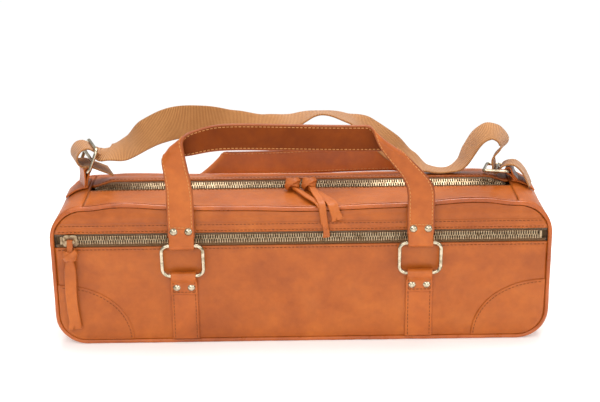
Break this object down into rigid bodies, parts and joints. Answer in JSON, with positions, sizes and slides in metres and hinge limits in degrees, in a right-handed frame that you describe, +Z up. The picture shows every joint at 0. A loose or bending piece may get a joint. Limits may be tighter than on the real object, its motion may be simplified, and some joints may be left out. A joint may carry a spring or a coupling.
{
  "type": "flute case",
  "caption": "Soft leather flute case with a zipped top, a zipped front pocket, hand straps on metal rings and a webbing shoulder strap",
  "frame": {"origin": "middle of the base, on the surface that the case stands on", "axes": "+X to the right as seen from the front, +Y from the front to the back, +Z up"},
  "size_m": [0.445, 0.1384, 0.2089],
  "materials": {
    "panel_leather": "smooth vegetable-tanned, satin",
    "strap_leather": "smooth, stitched edges, satin",
    "piping_leather": "rolled over cord, satin",
    "thong_leather": "soft, split edges, matt",
    "bright_metal": "pale nickel, polished",
    "zip_metal": "pale gold teeth, satin",
    "zip_tape": "herringbone tape, matt",
    "webbing": "ribbed cotton webbing, matt",
    "lining_cloth": "plain cotton, matt",
    "foam": "closed-cell foam, matt",
    "board": "fibreboard, matt"
  },
  "bodies": {
    "case": {"base_and_end_gusset": "panel_leather", "base_board": "board", "front_chape_rivets": "bright_metal", "front_left_chape": "strap_leather", "front_left_corner_patch": "panel_leather", "front_padding": "foam", "front_piping": "piping_leather", "front_pocket_panel": "panel_leather", "front_right_chape": "strap_leather", "front_right_corner_patch": "panel_leather", "front_upper_panel": "panel_leather", "left_end_tab": "strap_leather", "left_slide_buckle": "bright_metal", "lining": "lining_cloth", "main_zip_rear_tape": "zip_tape", "main_zip_rear_teeth": "zip_metal", "main_zip_stops": "zip_metal", "pocket_zip_stops": "zip_metal", "pocket_zip_tape": "zip_tape", "pocket_zip_teeth": "zip_metal", "rear_chape_rivets": "bright_metal", "rear_left_chape": "strap_leather", "rear_padding": "foam", "rear_panel": "panel_leather", "rear_piping": "piping_leather", "rear_right_chape": "strap_leather", "right_end_tab": "strap_leather", "right_slide_buckle": "bright_metal", "shoulder_strap_web": "webbing", "top_rear_strip": "panel_leather"},
    "flap": {"top_front_flap": "panel_leather", "main_zip_front_tape": "zip_tape", "main_zip_front_teeth": "zip_metal"},
    "left_main_slider": {"main_left_slider": "zip_metal"},
    "right_main_slider": {"main_right_slider": "zip_metal"},
    "left_main_pull": {"main_left_leather_pull": "thong_leather"},
    "right_main_pull": {"main_right_leather_pull": "thong_leather"},
    "pocket_zip_slider": {"pocket_slider": "zip_metal"},
    "pocket_zip_pull": {"pocket_leather_pull": "thong_leather"},
    "front_ring_left": {"front_left_ring": "bright_metal"},
    "front_ring_right": {"front_right_ring": "bright_metal"},
    "rear_ring_left": {"rear_left_ring": "bright_metal"},
    "rear_ring_right": {"rear_right_ring": "bright_metal"},
    "front_hand_strap": {"front_handle": "strap_leather", "front_handle_rivets": "bright_metal"},
    "rear_hand_strap": {"rear_handle": "strap_leather", "rear_handle_rivets": "bright_metal"}
  },
  "joints": [
    {"name": "front_flap_hinge", "type": "hinge", "parent": "case", "child": "flap", "pos_m": [0, -0.04165, 0.1312], "axis": [1, 0, 0], "range_deg": [0, 85]},
    {"name": "left_main_slide", "type": "slide", "parent": "flap", "child": "left_main_slider", "axis": [-1, 0, 0], "range_m": [0, 0.171]},
    {"name": "right_main_slide", "type": "slide", "parent": "flap", "child": "right_main_slider", "axis": [1, 0, 0], "range_m": [0, 0.171]},
    {"name": "left_main_pull_swing", "type": "hinge", "parent": "left_main_slider", "child": "left_main_pull", "pos_m": [-0.0075, 0.006, 0.13495], "axis": [1, 0, 0], "range_deg": [-70, 0], "deforming": ["main_left_leather_pull"]},
    {"name": "right_main_pull_swing", "type": "hinge", "parent": "right_main_slider", "child": "right_main_pull", "pos_m": [0.0075, 0.006, 0.13495], "axis": [1, 0, 0], "range_deg": [-70, 0], "deforming": ["main_right_leather_pull"]},
    {"name": "pocket_slide", "type": "slide", "parent": "case", "child": "pocket_zip_slider", "axis": [1, 0, 0], "range_m": [0, 0.407]},
    {"name": "pocket_pull_swing", "type": "hinge", "parent": "pocket_zip_slider", "child": "pocket_zip_pull", "pos_m": [-0.20395, -0.04915, 0.1005], "axis": [-1, 0, 0], "range_deg": [0, 150], "deforming": ["pocket_leather_pull"]},
    {"name": "front_left_ring_swing", "type": "hinge", "parent": "case", "child": "front_ring_left", "pos_m": [-0.105, -0.0513, 0.068], "axis": [1, 0, 0], "range_deg": [0, 160]},
    {"name": "front_right_ring_swing", "type": "hinge", "parent": "case", "child": "front_ring_right", "pos_m": [0.105, -0.0513, 0.068], "axis": [1, 0, 0], "range_deg": [0, 160]},
    {"name": "front_hand_strap_swing", "type": "hinge", "parent": "front_ring_left", "child": "front_hand_strap", "pos_m": [-0.105, -0.05387, 0.09739], "axis": [1, 0, 0], "range_deg": [-150, 0]},
    {"name": "rear_left_ring_swing", "type": "hinge", "parent": "case", "child": "rear_ring_left", "pos_m": [-0.105, 0.0513, 0.068], "axis": [1, 0, 0], "range_deg": [0, 160]},
    {"name": "rear_right_ring_swing", "type": "hinge", "parent": "case", "child": "rear_ring_right", "pos_m": [0.105, 0.0513, 0.068], "axis": [1, 0, 0], "range_deg": [0, 160]},
    {"name": "rear_hand_strap_swing", "type": "hinge", "parent": "rear_ring_left", "child": "rear_hand_strap", "pos_m": [-0.105, 0.05894, 0.0395], "axis": [1, 0, 0], "range_deg": [-150, 0]}
  ],
  "couplings": [
    {"joint": "left_main_pull_swing", "follows": "front_flap_hinge", "ratio": -0.8},
    {"joint": "right_main_pull_swing", "follows": "front_flap_hinge", "ratio": -0.8},
    {"joint": "front_right_ring_swing", "follows": "front_left_ring_swing", "ratio": 1},
    {"joint": "front_hand_strap_swing", "follows": "front_left_ring_swing", "ratio": -0.925},
    {"joint": "rear_right_ring_swing", "follows": "rear_left_ring_swing", "ratio": 1},
    {"joint": "rear_hand_strap_swing", "follows": "rear_left_ring_swing", "ratio": -0.925}
  ]
}
